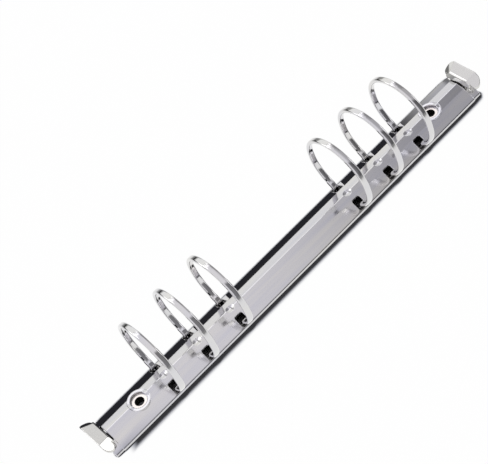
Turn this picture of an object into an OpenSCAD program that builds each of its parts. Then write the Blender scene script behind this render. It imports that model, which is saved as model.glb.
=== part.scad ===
// Six-ring lever mechanism for a loose-leaf binder, rings closed.
// X runs along the housing, Y across it and Z up. The origin is the middle of the foot.

/* [Rings] */
// Distance between neighbouring rings of a group
ring_pitch = 19; // [14:0.5:24]
// Distance between the two innermost rings
group_gap = 70; // [50:1:84]
// Radius of the ring at the middle of its wire
ring_r = 16.3; // [14:0.1:20]
// Straight run between the upper and the lower bow of a ring
ring_straight = 2.2; // [0.5:0.1:6]
// Wire size along the housing
wire_w = 2.8; // [2.2:0.1:3.4]
// Wire size across the ring
wire_t = 1.7; // [1.3:0.1:2]
// How far each tip laps past the middle of the ring
tip_lap = 0.6; // [0.4:0.1:1.2]
// Length of the straight leg that goes down through the housing
leg_len = 4.6; // [4:0.1:6]
// Lean of that leg above the level
leg_lean = 55; // [48:1:65]
// Distance of the ring's foot from the plate's pivot
foot_in = 1.4; // [1.2:0.1:2]
// Radius of the tenon that is staked into the plate
tenon_r = 0.7; // [0.5:0.05:0.9]

/* [Housing] */
// Length of the housing beyond each fixing hole
end_len = 21.5; // [19:0.5:30]
// Width of the housing across its lips
housing_w = 18.8; // [18:0.1:22]
// Height of the housing at its ridge
housing_h = 5.9; // [5.6:0.1:7]
// Thickness of the sheet
sheet = 0.7; // [0.5:0.05:0.8]
// Distance of each crease from the ridge
crease_y = 4.05; // [3.6:0.05:4.6]
// Drop from the ridge to the creases
crown_drop = 0.75; // [0.4:0.05:1]
// Height of the upright lips
lip_h = 1.6; // [1.55:0.05:2]
// Width of the hems that are folded in under the plates
hem_w = 2.4; // [2:0.1:2.8]
// Room beside the wire in its cut-out, along the housing
cut_room = 0.7; // [0.5:0.05:1]
// Corner radius of the ring cut-outs
cut_r = 0.9; // [0.4:0.1:1.2]
// Depth by which the pin ears are set back from the end of the crown
ear_drop = 0.3; // [0.2:0.05:0.35]
// Diameter of the pressed dimple at each ring
dimple_d = 4.6; // [3:0.1:5]
// Depth of the dimples
dimple_deep = 0.65; // [0.4:0.05:0.7]

/* [Hinge plates] */
// Thickness of the hinge plates
plate_t = 0.6; // [0.5:0.05:0.7]
// Angle below the level at which a closed plate lies
closed_tilt = 1; // [0.5:0.1:1.5]
// Length of the tabs that keep the two plates in line
tab_len = 8; // [5:0.5:12]
// How far a tab reaches past the seam
tab_reach = 0.8; // [0.5:0.1:1.2]

/* [Levers] */
// Thickness of the lever sheet
lever_t = 0.8; // [0.6:0.05:0.9]
// Width of the knuckle that is curled round the pin
knuckle_w = 8.6; // [7:0.1:9]
// Width of the lever's neck above the housing
neck_w = 13; // [11:0.1:14]
// Width of the thumb pad
pad_w = 18.6; // [16:0.1:20]
// How far the neck leans out at the shoulder
neck_lean = 0.8; // [0.4:0.1:1.2]
// Reach of the thumb pad from the shoulder
pad_len = 5.2; // [4.6:0.1:7]
// Upward slope of the thumb pad
pad_rise = 20; // [10:1:26]
// Height of the lever's shoulder above the ridge
pad_lift = 3; // [2.6:0.1:4]
// Half width of the flat middle of the pad, at the neck
fold_y = 4.6; // [4:0.1:5]
// Angle by which the sides of the pad are folded down
fold_turn = 35; // [28:1:40]
// Upward slope of the folded sides
fold_rise = 30; // [26:1:34]
// Corner radius of the pad
pad_corner_r = 2.2; // [1:0.1:3]
// Diameter of the lever pins
pin_d = 1.4; // [1.2:0.05:1.6]
// Distance of each pin from the end of the housing
pin_in = 2.1; // [1.8:0.1:2.6]
// Height of the pins
pin_z = 3.5; // [3.3:0.05:3.6]
// Length of the tongue that lifts the plates, from the pin
tongue_len = 4.3; // [3.8:0.1:4.6]
// Width of the tongue
tongue_w = 2; // [1.4:0.1:2.2]

/* [Eyelets] */
// Distance of each fixing hole beyond the outermost ring
eyelet_out = 14; // [10:0.5:24]
// Diameter of the fixing hole
bore_d = 4.2; // [3.6:0.1:4.6]
// Wall of the eyelet's tube
eyelet_wall = 0.5; // [0.3:0.05:0.6]
// Width of the eyelet's rolled flange
flange_w = 0.65; // [0.4:0.05:0.8]
// Diameter of the raised boss round an eyelet
boss_d = 10; // [9.6:0.1:11]
// Depth of the boss top below the ridge
boss_drop = 0.6; // [0.5:0.05:0.8]
// Depth of the dish in the boss
dish_deep = 1.55; // [1.2:0.05:1.7]

/* [Fits] */
// Gap of parts that are pressed or staked together
tight_gap = 0.02; // [0.01:0.01:0.05]
// Gap of parts that slide or turn on each other
slide_gap = 0.08; // [0.05:0.01:0.12]
// Gap of parts that pass clear of each other
clear_gap = 0.3; // [0.2:0.05:0.4]

/* [Hidden] */
$fn = 64;
GROUP = 3;
RINGS = [1, 2, 3, 4, 5, 6];

NICKEL = [0.80, 0.80, 0.82];
STEEL = [0.66, 0.66, 0.68];
WARM = [0.80, 0.74, 0.70];
FAR = 400;
BEND_STEPS = 6;

// Housing
eyelet_x = group_gap / 2 + (GROUP - 1) * ring_pitch + eyelet_out;
half_len = eyelet_x + end_len;
housing_len = 2 * half_len;
half_w = housing_w / 2;
crease_z = housing_h - crown_drop;
hem_in_y = half_w - hem_w;
ridge_bend = 2.2;
crease_bend = 0.5;
lip_bend = 0.1;
hem_bend = 0.1;
flank_run = half_w - crease_y;
flank_fall = crease_z - lip_h;
flank_slope = sqrt(flank_run * flank_run + flank_fall * flank_fall);
flank_out = [flank_fall, flank_run] / flank_slope;
cut_len = wire_w + 2 * cut_room;
cut_margin = 0.15;
lip_left = 0.45;
cut_in_y = crease_y + cut_margin;
cut_out_y = half_w - lip_left;
cut_z = sheet + clear_gap;
dimple_ball = (dimple_d * dimple_d / 4 + dimple_deep * dimple_deep) / (2 * dimple_deep);

// Hinge plates
seat_gap = 1.5 * slide_gap;
flank_gap = 0.7 * clear_gap;
pivot_z = sheet + seat_gap + plate_t / 2;
flank_room = flank_out[1] * (crease_z - pivot_z) - sheet - plate_t / 2 - flank_gap;
pivot_y = crease_y + flank_room / flank_out[0];
plate_w = pivot_y - slide_gap;
seam_under = pivot_z - plate_w * sin(closed_tilt) - plate_t / 2;
TABS = 4;

// Levers
pin_r = pin_d / 2;
pin_x = half_len - pin_in;
pin_proud = 0.1;
pin_end_y = crease_y + flank_run * (crease_z - pin_z) / flank_fall + pin_proud;
knuckle_bore = pin_r + tight_gap;
knuckle_r = knuckle_bore + lever_t;
web_sink = 0.1;
web_x = pin_x - knuckle_r + web_sink;
crown_end = web_x - clear_gap;
ear_y = knuckle_w / 2 + clear_gap;
ear_lap = 1;
plate_end = crown_end - ear_lap - clear_gap;
tab_step = plate_end / (TABS + 2);
shoulder_z = housing_h + pad_lift;
shoulder_x = web_x + neck_lean;
pad_end = shoulder_x + pad_len;
wing_room = 0.1;
wing_r = min(pad_corner_r, (pad_end - pin_x) / 2 - wing_room);
lever_bend = 0.6;
tongue_top = seam_under - slide_gap;
tongue_t = min(lever_t, tongue_top - slide_gap);

// Eyelets
bore_r = bore_d / 2;
tube_r = bore_r + eyelet_wall;
flange_r = tube_r + flange_w;
flange_t = 0.4;
boss_r = boss_d / 2;
boss_z = housing_h - boss_drop;
boss_root_z = 1.5 * lip_h;
dish_z = boss_z - dish_deep;
dish_room = 0.45;
dish_r = flange_r + dish_room;
dish_under_r = dish_r + sheet;

// Rings
foot = [
    pivot_y - foot_in * cos(closed_tilt) - plate_t / 2 * sin(closed_tilt),
    pivot_z - foot_in * sin(closed_tilt) + plate_t / 2 * cos(closed_tilt)
];
knee = foot + leg_len * [cos(leg_lean), sin(leg_lean)];
bow_turn = acos(knee[0] / ring_r);
low_bow_z = knee[1] + ring_r * sin(bow_turn);
high_bow_z = low_bow_z + ring_straight;
tip_turn = asin(tip_lap / ring_r);
knee_swell = 1.02;
tenon_root = wire_t / 4;

// Place of a ring along the housing, numbered from the front end
function ring_x(i) = sign(i - GROUP - 0.5) * (group_gap / 2 + ring_pitch * (abs(i - GROUP - 0.5) - 0.5));

// Helpers for bent sheet: a path that only turns right, with the sheet on its right side
function unit(v) = v / norm(v);
function right_of(v) = [v[1], -v[0]];
function turned(v, a) = [v[0] * cos(a) + v[1] * sin(a), v[1] * cos(a) - v[0] * sin(a)];
function heading(p, i) = unit(p[i + 1] - p[i]);
function turn_at(p, i) = acos(heading(p, i - 1) * heading(p, i));
function bend_centre(p, i, r) =
    p[i] - heading(p, i - 1) * r * tan(turn_at(p, i) / 2) + right_of(heading(p, i - 1)) * r;
function bend(p, i, r, depth) = [
    for (k = [0:BEND_STEPS])
        let (arm = turned(right_of(heading(p, i - 1)), turn_at(p, i) * k / BEND_STEPS))
            bend_centre(p, i, r) - arm * (r - depth)
];
function sheet_line(p, radii, depth) = concat(
    [p[0] + right_of(heading(p, 0)) * depth],
    [for (i = [1:len(p) - 2]) each bend(p, i, radii[i], depth)],
    [p[len(p) - 1] + right_of(heading(p, len(p) - 2)) * depth]
);
function reversed(p) = [for (i = [len(p) - 1:-1:0]) p[i]];

// Outline of the housing's section from hem to hem, with its flanks and lips set back by a drop
function housing_path(drop) =
    let (
        w = half_w - drop,
        flank_z = drop / flank_out[1],
        lip_z = lip_h - flank_z + drop * flank_fall / flank_run
    ) [
        [-hem_in_y, 0], [-w, 0], [-w, lip_z], [-crease_y, crease_z - flank_z], [0, housing_h - drop],
        [crease_y, crease_z - flank_z], [w, lip_z], [w, 0], [hem_in_y, 0]
    ];
half_bends = [0, hem_bend, lip_bend, crease_bend];
housing_bends = [for (r = concat(half_bends, [ridge_bend], reversed(half_bends))) r + sheet];

module along_x(length) rotate([90, 0, 90]) linear_extrude(length, center = true) children();

module at_ends() {
    children();
    rotate([0, 0, 180]) children();
}

module at_eyelets() at_ends() translate([eyelet_x, 0, 0]) children();

module at_rings() for (i = RINGS) translate([ring_x(i), 0, 0]) children();

// A round bar on the axis of the rear lever's pin
module pin_axis(r, length) {
    translate([pin_x, 0, pin_z]) rotate([90, 0, 0]) cylinder(r = r, h = length, center = true);
}

module disc(r, z0, z1) translate([0, 0, z0]) cylinder(r = r, h = z1 - z0);

module rounded_rect(x0, x1, y0, y1, r) {
    translate([x0 + r, y0]) square([x1 - x0 - 2 * r, y1 - y0]);
    translate([x0, y0 + r]) square([x1 - x0, y1 - y0 - 2 * r]);
    for (x = [x0 + r, x1 - r], y = [y0 + r, y1 - r]) translate([x, y]) circle(r);
}

module dimple_balls(r) at_rings() translate([0, 0, housing_h - dimple_deep + dimple_ball]) sphere(r);

// The housing as a filled body, before it is hollowed
module housing_outside() {
    difference() {
        union() {
            difference() {
                along_x(2 * crown_end) polygon(sheet_line(housing_path(0), housing_bends, 0));
                at_eyelets() disc(boss_r, boss_z, FAR);
            }
            at_eyelets() disc(boss_r, boss_root_z, boss_z);
            along_x(housing_len) polygon(sheet_line(housing_path(ear_drop), housing_bends, 0));
        }
        at_eyelets() disc(dish_r, dish_z, FAR);
        at_eyelets() disc(tube_r + tight_gap, -FAR, FAR);
        dimple_balls(dimple_ball);
    }
}

// The section of the hollow, open downwards
module hollow_section(drop) {
    below = [[hem_in_y, -sheet], [-hem_in_y, -sheet]];
    polygon(concat(sheet_line(housing_path(drop), housing_bends, sheet), below));
}

module housing_inside() {
    difference() {
        along_x(2 * (crown_end - ear_lap)) hollow_section(0);
        at_eyelets() disc(boss_r + sheet / 2, boss_z - sheet, FAR);
        at_eyelets() disc(dish_under_r, dish_z - sheet, FAR);
        dimple_balls(dimple_ball + sheet);
    }
    at_ends() translate([half_len, 0, 0]) along_x(2 * (half_len - crown_end + 2 * ear_lap))
        hollow_section(ear_drop);
}

module ring_cuts() {
    at_rings() for (a = [0, 180]) rotate([0, 0, a]) translate([0, 0, cut_z])
        linear_extrude(FAR) rounded_rect(-cut_len / 2, cut_len / 2, cut_in_y, cut_out_y, cut_r);
}

module housing() {
    color(NICKEL) difference() {
        housing_outside();
        housing_inside();
        ring_cuts();
        at_ends() translate([crown_end, -ear_y, -sheet]) cube([FAR, 2 * ear_y, FAR]);
        at_ends() pin_axis(pin_r + tight_gap, FAR);
    }
}

// Places a child on the left plate: its pivot is the X axis, the seam lies towards -Y
module on_left_plate() translate([0, pivot_y, pivot_z]) rotate([closed_tilt, 0, 0]) children();

// Tabs of the left plate lie to and fro along the seam, so that a half turn brings tabs to notches
module plate_tabs(grow) {
    for (k = [0:TABS - 1]) translate([(k % 2 == 0 ? 1 : -1) * (k + 0.5) * tab_step, -plate_w, 0])
        translate([-tab_len / 2 - grow, -tab_reach - grow, -plate_t / 2 - grow])
            cube([tab_len + 2 * grow, 2 * tab_reach + grow, plate_t + 2 * grow]);
}

module plate_blank() {
    translate([-plate_end, -plate_w, -plate_t / 2]) cube([2 * plate_end, plate_w, plate_t]);
    rotate([0, 90, 0]) cylinder(d = plate_t, h = 2 * plate_end, center = true);
    plate_tabs(0);
}

module hinge_plate() {
    color(STEEL) difference() {
        on_left_plate() difference() {
            plate_blank();
            at_rings() translate([0, -foot_in, 0]) cylinder(r = tenon_r + tight_gap, h = FAR, center = true);
            translate([0, -2 * plate_w, 0]) rotate([0, 0, 180]) plate_tabs(clear_gap);
        }
        at_eyelets() disc(dish_under_r + clear_gap, -FAR, FAR);
    }
}

module left_hinge_plate() hinge_plate();

module right_hinge_plate() rotate([0, 0, 180]) hinge_plate();

// Flat oval wire, its long side along the housing
module wire_section() {
    flat = wire_w - wire_t;
    square([wire_t, flat], center = true);
    for (s = [-1, 1]) translate([0, s * flat / 2]) circle(d = wire_t);
}

module wire_bow(turn) rotate([90, 0, 90]) rotate_extrude(angle = turn) translate([ring_r, 0]) wire_section();

module wire_rod(length) linear_extrude(length) rotate(90) wire_section();

module wire_knee() {
    flat = wire_w - wire_t;
    rotate([0, 90, 0]) cylinder(d = wire_t, h = flat, center = true);
    for (s = [-1, 1]) translate([s * flat / 2, 0, 0]) sphere(d = wire_t);
}

module half_ring_wire() {
    translate([0, 0, high_bow_z]) wire_bow(90 + tip_turn);
    translate([0, ring_r, low_bow_z]) wire_rod(ring_straight);
    translate([0, 0, low_bow_z]) mirror([0, 0, 1]) wire_bow(bow_turn);
    translate([0, knee[0], knee[1]]) scale(knee_swell) wire_knee();
    translate([0, foot[0], foot[1]]) rotate([leg_lean - 90, 0, 0]) translate([0, 0, -wire_t])
        wire_rod(leg_len + wire_t);
}

// One half ring on the left side, at the middle of the housing
module half_ring() {
    difference() {
        half_ring_wire();
        on_left_plate() translate([-FAR / 2, -FAR / 2, plate_t / 2 - FAR]) cube(FAR);
        translate([-FAR, tip_lap + slide_gap - FAR, high_bow_z]) cube([FAR + slide_gap / 2, FAR, FAR]);
    }
    on_left_plate() translate([0, -foot_in, -plate_t / 2]) cylinder(r = tenon_r, h = plate_t + tenon_root);
}

module left_ring(i) color(NICKEL) translate([ring_x(i), 0, 0]) half_ring();

module right_ring(i) color(NICKEL) translate([ring_x(i), 0, 0]) rotate([0, 0, 180]) half_ring();

// The space inside the lever's skin at a depth: behind the neck, under the pad and under its folded sides
module lever_space(depth) {
    reach = pad_len + lever_t;
    tip_x = shoulder_x + reach;
    foot_z = pin_z - depth;
    foot_x = web_x - neck_lean * depth / (shoulder_z - pin_z);
    path = [[foot_x, foot_z], [shoulder_x, shoulder_z], [tip_x, shoulder_z + reach * tan(pad_rise)]];
    bends = [for (i = path) lever_bend + lever_t];
    side_w = pad_w + depth;
    fold_top = fold_y * tan(fold_turn) / 2;
    fold_low = (fold_y - side_w) * tan(fold_turn);
    skin = depth / cos(fold_turn);
    intersection() {
        rotate([90, 0, 0]) linear_extrude(2 * side_w, center = true)
            polygon(concat(sheet_line(path, bends, depth), [[tip_x + depth, foot_z]]));
        translate([shoulder_x, 0, shoulder_z]) rotate([0, -fold_rise, 0]) along_x(4 * reach) polygon([
            [-side_w, -2 * pad_w], [-side_w, fold_low - skin], [-fold_y / 2, fold_top - skin],
            [fold_y / 2, fold_top - skin], [side_w, fold_low - skin], [side_w, -2 * pad_w]
        ]);
    }
}

// The bent sheet, with the neck cut away over the pin ears
module lever_sheet() {
    difference() {
        lever_space(0);
        lever_space(lever_t);
        for (s = [0, 1]) mirror([0, s, 0]) translate([0, knuckle_w / 2, housing_h - FAR])
            cube([pin_x, FAR, FAR]);
    }
}

// Plan of the lever: the neck, and the pad with its rounded ends
module lever_plan() {
    translate([web_x - lever_t, -neck_w / 2]) square([pad_len, neck_w]);
    rounded_rect(pin_x, pad_end, -pad_w / 2, pad_w / 2, wing_r);
}

module lever_tongue() {
    foot_z = tongue_top - tongue_t;
    tip_x = pin_x - tongue_len;
    translate([tip_x, -tongue_w / 2, foot_z]) cube([web_x + lever_t - tip_x, tongue_w, tongue_t]);
    translate([web_x, -tongue_w / 2, foot_z]) cube([lever_t, tongue_w, pin_z - foot_z]);
}

module lever() {
    color(NICKEL) difference() {
        union() {
            intersection() {
                lever_sheet();
                linear_extrude(FAR) lever_plan();
            }
            pin_axis(knuckle_r, knuckle_w);
            lever_tongue();
        }
        pin_axis(knuckle_bore, FAR);
    }
}

module rear_lever() lever();

module front_lever() rotate([0, 0, 180]) lever();

module lever_pin() {
    color(STEEL) pin_axis(pin_r, 2 * pin_end_y);
}

module rear_lever_pin() lever_pin();

module front_lever_pin() rotate([0, 0, 180]) lever_pin();

module eyelet() {
    color(WARM) translate([eyelet_x, 0, 0]) difference() {
        union() {
            disc(tube_r, 0, dish_z + flange_t);
            disc(flange_r, dish_z, dish_z + flange_t);
        }
        disc(bore_r, -FAR, FAR);
    }
}

module rear_eyelet() eyelet();

module front_eyelet() rotate([0, 0, 180]) eyelet();

housing();
left_hinge_plate();
right_hinge_plate();
for (i = RINGS) {
    left_ring(i);
    right_ring(i);
}
front_lever();
rear_lever();
front_lever_pin();
rear_lever_pin();
front_eyelet();
rear_eyelet();
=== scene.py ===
"""Plated six-ring lever mechanism for a loose-leaf binder, lying on a white table."""
import math

import bpy
from mathutils import Matrix, Vector


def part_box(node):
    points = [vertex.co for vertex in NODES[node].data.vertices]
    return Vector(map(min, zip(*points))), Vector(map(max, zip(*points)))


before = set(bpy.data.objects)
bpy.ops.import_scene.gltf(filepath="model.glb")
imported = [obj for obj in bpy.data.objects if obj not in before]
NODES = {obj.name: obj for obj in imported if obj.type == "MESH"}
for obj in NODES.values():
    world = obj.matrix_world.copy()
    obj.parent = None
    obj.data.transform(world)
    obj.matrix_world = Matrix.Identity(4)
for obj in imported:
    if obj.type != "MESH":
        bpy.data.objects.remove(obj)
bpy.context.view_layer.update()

MM = 0.001

# The camera of the photograph
LENS_MM = 101.3
SENSOR_MM = 36.0
CAMERA_PLACE = Vector((-146.3, -315.4, 449.9)) * MM
CAMERA_AIM = Vector((-3.2, 27.2, 0.0)) * MM
CAMERA_ROLL = math.radians(-26.4)
CAMERA_CLIP = 10 * MM


# Node helpers

# Places of the colour sockets on a Mix node
MIX_FIRST, MIX_SECOND, MIX_RESULT = 6, 7, 2


def add_node(tree, kind, **values):
    """A node; a keyword that names a property sets it, and any other sets the input of that name."""
    node = tree.nodes.new(kind)
    for name, value in values.items():
        if hasattr(node, name):
            setattr(node, name, value)
        else:
            node.inputs[name].default_value = value
    return node


def link(tree, source, target):
    tree.links.new(source, target)


def ramp(tree, factor, stops):
    """A colour ramp on factor, with (place, grey or colour) stops."""
    stops = list(stops)
    node = tree.nodes.new("ShaderNodeValToRGB")
    elements = node.color_ramp.elements
    while len(elements) < len(stops):
        elements.new(1.0)
    for element, (place, colour) in zip(elements, stops):
        element.position = place
        grey = isinstance(colour, (int, float))
        element.color = (colour, colour, colour, 1) if grey else (*colour, 1)
    link(tree, factor, node.inputs["Fac"])
    return node.outputs["Color"]


def fade(tree, value, start, end, low=0.0, high=1.0):
    """A smooth change from low to high while value goes from start to end."""
    node = add_node(tree, "ShaderNodeMapRange", interpolation_type="SMOOTHSTEP")
    for name, number in (("From Min", start), ("From Max", end), ("To Min", low), ("To Max", high)):
        node.inputs[name].default_value = number
    link(tree, value, node.inputs["Value"])
    return node.outputs["Result"]


def math_node(tree, operation, *values):
    node = add_node(tree, "ShaderNodeMath", operation=operation)
    for socket, value in zip(node.inputs, values):
        if isinstance(value, (int, float)):
            socket.default_value = value
        else:
            link(tree, value, socket)
    return node.outputs[0]


def product(tree, first, *others):
    for other in others:
        first = math_node(tree, "MULTIPLY", first, other)
    return first


def largest(tree, first, *others):
    for other in others:
        first = math_node(tree, "MAXIMUM", first, other)
    return first


def separate(tree, vector):
    node = tree.nodes.new("ShaderNodeSeparateXYZ")
    link(tree, vector, node.inputs[0])
    return node.outputs


def noise(tree, place, stretch, detail, roughness):
    """Noise at a place, with its own scale along each axis."""
    mapping = add_node(tree, "ShaderNodeMapping", Scale=stretch)
    link(tree, place, mapping.inputs["Vector"])
    node = add_node(tree, "ShaderNodeTexNoise", Scale=1.0, Detail=detail, Roughness=roughness)
    link(tree, mapping.outputs["Vector"], node.inputs["Vector"])
    return node.outputs["Fac"]


def new_material(name):
    material = bpy.data.materials.new(name)
    material.use_nodes = True
    tree = material.node_tree
    tree.nodes.clear()
    out = tree.nodes.new("ShaderNodeOutputMaterial")
    return material, tree, out


# Materials

# Between which values of the noise the tint and the roughness change
TINT_SPAN = (0.3, 0.7)
ROUGH_SPAN = (0.3, 0.75)
SCRATCH_DEPTH = 0.02 * MM
SCRATCH_STRENGTH = 0.04
EDGE_SAMPLES = 6


def plated_metal(name, cool, warm, rough, streak, grain, edge):
    """Bright plate with a streaky tint, uneven gloss, fine scratches and edges rounded by the plating."""
    material, tree, out = new_material(name)
    shader = add_node(tree, "ShaderNodeBsdfPrincipled", Metallic=1.0)
    link(tree, shader.outputs["BSDF"], out.inputs["Surface"])
    place = tree.nodes.new("ShaderNodeTexCoord").outputs["Object"]
    clouds = noise(tree, place, streak, detail=3.0, roughness=0.5)
    link(tree, ramp(tree, clouds, zip(TINT_SPAN, (cool, warm))), shader.inputs["Base Color"])
    scratches = noise(tree, place, grain, detail=5.0, roughness=0.65)
    link(tree, ramp(tree, scratches, zip(ROUGH_SPAN, rough)), shader.inputs["Roughness"])
    rounded = add_node(tree, "ShaderNodeBevel", samples=EDGE_SAMPLES, Radius=edge)
    bump = add_node(tree, "ShaderNodeBump", Strength=SCRATCH_STRENGTH, Distance=SCRATCH_DEPTH)
    link(tree, scratches, bump.inputs["Height"])
    link(tree, rounded.outputs["Normal"], bump.inputs["Normal"])
    link(tree, bump.outputs["Normal"], shader.inputs["Normal"])
    return material


# Scales of the scratches and of the tint, for each axis
ALONG_SHEET = (120.0, 5000.0, 5000.0)
ALL_WAYS = (1500.0, 1500.0, 1500.0)
STREAKS = (14.0, 330.0, 330.0)
CLOUDS = (60.0, 60.0, 60.0)

nickel_sheet = plated_metal(
    "nickel_sheet", cool=(0.59, 0.59, 0.64), warm=(0.70, 0.685, 0.66), rough=(0.06, 0.14),
    streak=STREAKS, grain=ALONG_SHEET, edge=0.45 * MM)
nickel_pad = plated_metal(
    "nickel_pad", cool=(0.66, 0.655, 0.635), warm=(0.73, 0.72, 0.69), rough=(0.10, 0.20),
    streak=CLOUDS, grain=ALL_WAYS, edge=0.4 * MM)
nickel_wire = plated_metal(
    "nickel_wire", cool=(0.68, 0.68, 0.71), warm=(0.73, 0.72, 0.70), rough=(0.03, 0.10),
    streak=CLOUDS, grain=ALL_WAYS, edge=0.08 * MM)
plain_steel = plated_metal(
    "plain_steel", cool=(0.18, 0.18, 0.19), warm=(0.24, 0.23, 0.22), rough=(0.25, 0.42),
    streak=CLOUDS, grain=ALONG_SHEET, edge=0.08 * MM)
eyelet_plate = plated_metal(
    "eyelet_plate", cool=(0.70, 0.65, 0.62), warm=(0.76, 0.71, 0.67), rough=(0.06, 0.14),
    streak=CLOUDS, grain=ALL_WAYS, edge=0.12 * MM)


def material_of(node):
    if "ring" in node:
        return nickel_wire
    if "eyelet" in node:
        return eyelet_plate
    if "plate" in node:
        return plain_steel
    if "lever" in node:
        return nickel_pad
    return nickel_sheet


SMOOTH_LIMIT = math.radians(24)
WELD_DISTANCE = 0.0005 * MM


def smooth_group():
    """A modifier's node group that shades smooth over edges flatter than the limit."""
    tree = bpy.data.node_groups.new("smooth_by_angle", "GeometryNodeTree")
    tree.interface.new_socket("Geometry", in_out="INPUT", socket_type="NodeSocketGeometry")
    tree.interface.new_socket("Geometry", in_out="OUTPUT", socket_type="NodeSocketGeometry")
    start = tree.nodes.new("NodeGroupInput")
    end = tree.nodes.new("NodeGroupOutput")
    weld = add_node(tree, "GeometryNodeMergeByDistance", Distance=WELD_DISTANCE)
    faces = add_node(tree, "GeometryNodeSetShadeSmooth", domain="FACE")
    edges = add_node(tree, "GeometryNodeSetShadeSmooth", domain="EDGE")
    edges.inputs["Shade Smooth"].default_value = False
    angle = tree.nodes.new("GeometryNodeInputMeshEdgeAngle")
    sharp = add_node(tree, "FunctionNodeCompare", data_type="FLOAT", operation="GREATER_THAN")
    sharp.inputs["B"].default_value = SMOOTH_LIMIT
    link(tree, start.outputs[0], weld.inputs["Geometry"])
    link(tree, weld.outputs[0], faces.inputs["Geometry"])
    link(tree, faces.outputs[0], edges.inputs["Geometry"])
    link(tree, angle.outputs["Unsigned Angle"], sharp.inputs["A"])
    link(tree, sharp.outputs["Result"], edges.inputs["Selection"])
    link(tree, edges.outputs[0], end.inputs[0])
    return tree


smooth_by_angle = smooth_group()
for name, node in NODES.items():
    node.data.materials.clear()
    node.data.materials.append(material_of(name))
    node.modifiers.new("smooth", "NODES").node_group = smooth_by_angle


# Stage: a white table

def plane(name, corners):
    mesh = bpy.data.meshes.new(name)
    mesh.from_pydata(corners, [], [range(len(corners))])
    obj = bpy.data.objects.new(name, mesh)
    bpy.context.scene.collection.objects.link(obj)
    return obj


FLOOR_REACH = 4.0
FLOOR_DROP = 0.02 * MM
FLOOR_WHITE = 0.8
FLOOR_GLOW = 0.985
# The soft shadow: where its light comes from, how far it reaches, how it fades, and where it starts
SHADE_FROM = (-0.62, 0.60, 0.50)
SHADE_REACH = 4.2 * MM
SHADE_STOPS = (0.665, 0.885)
SHADE_SPREAD = 0.4
SHADE_START = (-104 * MM, -98.5 * MM)
SHADE_STEPS = [(0.0, (0.030, 0.030, 0.033)), (0.4, (0.385, 0.390, 0.430)), (1.0, 1.0)]
SHADE_SAMPLES = 48
# The narrow shadow under the lips
CONTACT_FROM = (-0.40, -0.30, 0.87)
CONTACT_REACH = 3 * MM
CONTACT_STOPS = (0.71, 0.85)
# How far the painted light on the table stays bright in reflections, which is further along the part, and
# how bright it is past that
TABLE_EDGE = (60 * MM, 320 * MM)
TABLE_STRETCH = 0.25
TABLE_DIM = 0.30
FOOT_EDGE = 0.6 * MM
housing_low, housing_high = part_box("housing")


def openness(tree, toward, reach):
    """How open the floor is towards a direction, from 0 to 1."""
    facing = tree.nodes.new("ShaderNodeCombineXYZ")
    for socket, number in zip(facing.inputs, toward):
        socket.default_value = number
    room = add_node(tree, "ShaderNodeAmbientOcclusion", samples=SHADE_SAMPLES, Distance=reach)
    link(tree, facing.outputs[0], room.inputs["Normal"])
    return room.outputs["AO"]


def table_shadow(tree, x):
    """The table as the camera sees it: white, with the part's shadow."""
    wider = math_node(tree, "MULTIPLY_ADD", x, SHADE_SPREAD, openness(tree, SHADE_FROM, SHADE_REACH))
    ahead = fade(tree, x, *SHADE_START, 1.0, 0.0)
    shadow = largest(tree, fade(tree, wider, *SHADE_STOPS), ahead)
    contact = fade(tree, openness(tree, CONTACT_FROM, CONTACT_REACH), *CONTACT_STOPS)
    return ramp(tree, math_node(tree, "MINIMUM", shadow, contact), SHADE_STEPS)


def table_mirrored(tree, x, y):
    """The table as reflections see it: painted light, bright near the part and dim far off, and painted
    shade under the housing.
    """
    along = product(tree, x, TABLE_STRETCH)
    squares = math_node(tree, "ADD", product(tree, along, along), product(tree, y, y))
    lit = fade(tree, math_node(tree, "SQRT", squares), *TABLE_EDGE, 1.0, TABLE_DIM)
    # Painted shade: in reflections the table is dark under the housing's foot
    foot_y = housing_high.y - FOOT_EDGE
    beside = math_node(tree, "GREATER_THAN", math_node(tree, "ABSOLUTE", y), foot_y)
    beyond = math_node(tree, "GREATER_THAN", math_node(tree, "ABSOLUTE", x), housing_high.x)
    return product(tree, lit, largest(tree, beside, beyond))


def white_table():
    material, tree, out = new_material("white_table")
    x, y, _ = separate(tree, tree.nodes.new("ShaderNodeTexCoord").outputs["Object"])
    path = tree.nodes.new("ShaderNodeLightPath")
    white = add_node(tree, "ShaderNodeMix", data_type="RGBA")
    link(tree, path.outputs["Is Camera Ray"], white.inputs["Factor"])
    link(tree, table_mirrored(tree, x, y), white.inputs[MIX_FIRST])
    link(tree, table_shadow(tree, x), white.inputs[MIX_SECOND])
    glow = add_node(tree, "ShaderNodeEmission", Strength=1.0)
    link(tree, white.outputs[MIX_RESULT], glow.inputs["Color"])
    paper = add_node(tree, "ShaderNodeBsdfDiffuse", Color=(FLOOR_WHITE, FLOOR_WHITE, FLOOR_WHITE, 1))
    seen = largest(tree, path.outputs["Is Camera Ray"], path.outputs["Is Glossy Ray"])
    mix = tree.nodes.new("ShaderNodeMixShader")
    link(tree, product(tree, seen, FLOOR_GLOW), mix.inputs["Fac"])
    link(tree, paper.outputs[0], mix.inputs[1])
    link(tree, glow.outputs[0], mix.inputs[2])
    link(tree, mix.outputs[0], out.inputs["Surface"])
    return material


floor = plane("floor", [(x * FLOOR_REACH, y * FLOOR_REACH, -FLOOR_DROP) for x, y in (
    (-1, -1), (1, -1), (1, 1), (-1, 1))])
floor.data.materials.append(white_table())


# Stage: a low dark strip beside the part, open at each ring, which only reflections see; its glow is a
# painted reflection that darkens the housing's side and the rings

STRIP_GAP = 1.0 * MM
# Height at the strip's two ends, and how far it runs past the housing there
STRIP_TOPS = (9.5 * MM, 7.4 * MM)
STRIP_ENDS = (12 * MM, 48 * MM)
# Start and end of each opening, from the ring's two sides
STRIP_OPEN = (0.7 * MM, 3.2 * MM)
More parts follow.
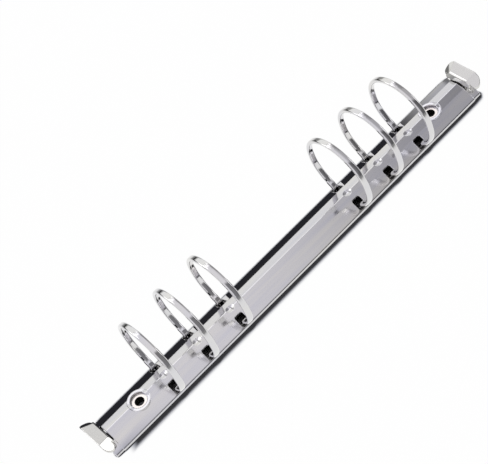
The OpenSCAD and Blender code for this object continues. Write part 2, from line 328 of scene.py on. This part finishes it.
# Where the painted reflection turns from dark to pale, and where its last stretch darkens again
STRIP_FADE = (70 * MM, 102 * MM)
STRIP_SHADES = ((0.025, 0.025, 0.030), (0.58, 0.58, 0.58))
STRIP_LAST = (104 * MM, 107 * MM)
STRIP_LAST_DIM = 0.38


def dark_strip():
    material, tree, out = new_material("dark_strip")
    x, _, _ = separate(tree, tree.nodes.new("ShaderNodeTexCoord").outputs["Object"])
    # The strip's emission is a painted reflection: a dark glow, paler towards the far end
    painted_reflection_glow = tree.nodes.new("ShaderNodeEmission")
    shade = ramp(tree, fade(tree, x, *STRIP_FADE), zip((0.0, 1.0), STRIP_SHADES))
    link(tree, shade, painted_reflection_glow.inputs["Color"])
    link(tree, fade(tree, x, *STRIP_LAST, 1.0, STRIP_LAST_DIM), painted_reflection_glow.inputs["Strength"])
    link(tree, painted_reflection_glow.outputs[0], out.inputs["Surface"])
    return material


strip_y = housing_high.y + STRIP_GAP
strip_low, strip_high = housing_low.x - STRIP_ENDS[0], housing_high.x + STRIP_ENDS[1]
strip_edges = [strip_low, strip_high]
for ring_low, ring_high in (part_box(name) for name in NODES if name.startswith("left_ring")):
    strip_edges += [ring_low.x + STRIP_OPEN[0], ring_high.x + STRIP_OPEN[1]]
strip_edges.sort()


def strip_top(x):
    share = (x - strip_low) / (strip_high - strip_low)
    return STRIP_TOPS[0] + (STRIP_TOPS[1] - STRIP_TOPS[0]) * share


painted_reflection_sheet = dark_strip()
for start, end in zip(strip_edges[::2], strip_edges[1::2]):
    strip = plane("strip", [(x, strip_y, z) for x, z in (
        (start, 0.0), (end, 0.0), (end, strip_top(end)), (start, strip_top(start)))])
    strip.data.materials.append(painted_reflection_sheet)
    for way in ("camera", "diffuse", "transmission", "volume_scatter", "shadow"):
        setattr(strip, "visible_" + way, False)


# The studio: a white tent
# Each pair is where a fade starts and ends, on x, y or z of the direction to the tent

TENT_WHITE = 1.04
# Dark along the horizon (z), less so to the far end (x), not past the ends (x) or on the camera's side (y)
HORIZON = (0.08, 0.30)
HORIZON_FAR = (0.15, 0.40)
HORIZON_SHADES = (0.04, 0.35)
HORIZON_ENDS = (0.45, 0.65)
HORIZON_SIDE = (-0.60, -0.30)
# Dim on the camera's side (y), but not towards the near end (x)
CAMERA_SIDE = (-0.69, -0.55)
CAMERA_SIDE_DIM = 0.26
CAMERA_SIDE_END = (-0.35, -0.15)
# Dim beyond the far end (x), less so on the right and not on the left (y)
FAR_END = (0.18, 0.46)
FAR_END_DIM = 0.35
FAR_END_LEFT = (0.42, 0.58)
FAR_END_RIGHT = (0.02, 0.17)
FAR_END_RIGHT_DIM = 0.56
# A bright line on the left (y), as long as the ridge of the crown mirrors it (x)
RIDGE_LINE = (0.41, 0.53, 0.65)
RIDGE_START = (-0.06, 0.02)
RIDGE_END = (0.46, 0.54)
RIDGE_BRIGHT = 0.8
# Cooler on the right than on the left (y)
TINT_SIDE = (0.45, 0.70)
TINTS = ((0.87, 0.86, 0.905), (1.0, 1.0, 0.985))


def tent_brightness(tree, x, y, z):
    low = largest(
        tree, fade(tree, x, *HORIZON_FAR, *HORIZON_SHADES),
        fade(tree, math_node(tree, "ABSOLUTE", x), *HORIZON_ENDS), fade(tree, y, *HORIZON_SIDE, 1.0, 0.0))
    dome = largest(tree, low, fade(tree, z, *HORIZON))
    side = largest(
        tree, fade(tree, y, *CAMERA_SIDE, CAMERA_SIDE_DIM, 1.0), fade(tree, x, *CAMERA_SIDE_END, 1.0, 0.0))
    far = largest(
        tree, fade(tree, x, *FAR_END, 1.0, FAR_END_DIM), fade(tree, y, *FAR_END_LEFT),
        fade(tree, y, *FAR_END_RIGHT, FAR_END_RIGHT_DIM, 0.0))
    start, middle, end = RIDGE_LINE
    line = product(
        tree, fade(tree, y, start, middle), fade(tree, y, middle, end, 1.0, 0.0),
        fade(tree, x, *RIDGE_START), fade(tree, x, *RIDGE_END, 1.0, 0.0))
    tent = product(tree, dome, side, far, TENT_WHITE)
    return math_node(tree, "MULTIPLY_ADD", line, RIDGE_BRIGHT, tent)


def studio():
    """The tent in light and reflections, and plain white to the camera."""
    world = bpy.data.worlds.new("studio")
    world.use_nodes = True
    tree = world.node_tree
    tree.nodes.clear()
    x, y, z = separate(tree, tree.nodes.new("ShaderNodeTexCoord").outputs["Generated"])
    tent = tree.nodes.new("ShaderNodeBackground")
    link(tree, tent_brightness(tree, x, y, z), tent.inputs["Strength"])
    tint = ramp(tree, fade(tree, y, *TINT_SIDE), zip((0.0, 1.0), TINTS))
    link(tree, tint, tent.inputs["Color"])
    plain = add_node(tree, "ShaderNodeBackground", Color=(1, 1, 1, 1), Strength=1.0)
    seen = tree.nodes.new("ShaderNodeMixShader")
    link(tree, tree.nodes.new("ShaderNodeLightPath").outputs["Is Camera Ray"], seen.inputs["Fac"])
    link(tree, tent.outputs[0], seen.inputs[1])
    link(tree, plain.outputs[0], seen.inputs[2])
    out = tree.nodes.new("ShaderNodeOutputWorld")
    link(tree, seen.outputs[0], out.inputs["Surface"])
    return world


bpy.context.scene.world = studio()


# Lamps

LAMP_DISTANCE = 1.4


def soft_box(name, toward, size, brightness):
    """A round lamp in a direction from the part, as bright in a mirror as the given share of white."""
    data = bpy.data.lights.new(name, "AREA")
    data.shape = "DISK"
    data.size = size
    data.energy = brightness * math.pi * math.pi * size * size / 4
    lamp = bpy.data.objects.new(name, data)
    bpy.context.scene.collection.objects.link(lamp)
    lamp.location = Vector(toward).normalized() * LAMP_DISTANCE
    lamp.rotation_euler = (-lamp.location).to_track_quat("-Z", "Y").to_euler()


soft_box("end_light", toward=(0.79, -0.42, 0.44), size=0.6, brightness=1.2)
soft_box("front_light", toward=(-0.40, 0.53, 0.75), size=0.5, brightness=1.5)
soft_box("low_light", toward=(-0.71, 0.66, 0.25), size=0.5, brightness=1.2)


# Camera

camera = bpy.data.objects.new("camera", bpy.data.cameras.new("camera"))
bpy.context.scene.collection.objects.link(camera)
camera.data.sensor_fit = "HORIZONTAL"
camera.data.sensor_width = SENSOR_MM
camera.data.lens = LENS_MM
camera.data.clip_start = CAMERA_CLIP
look = (CAMERA_AIM - CAMERA_PLACE).to_track_quat("-Z", "Y").to_matrix().to_4x4()
camera.matrix_world = Matrix.Translation(CAMERA_PLACE) @ look @ Matrix.Rotation(CAMERA_ROLL, 4, "Z")
bpy.context.scene.camera = camera

bpy.context.scene.view_settings.view_transform = "Standard"
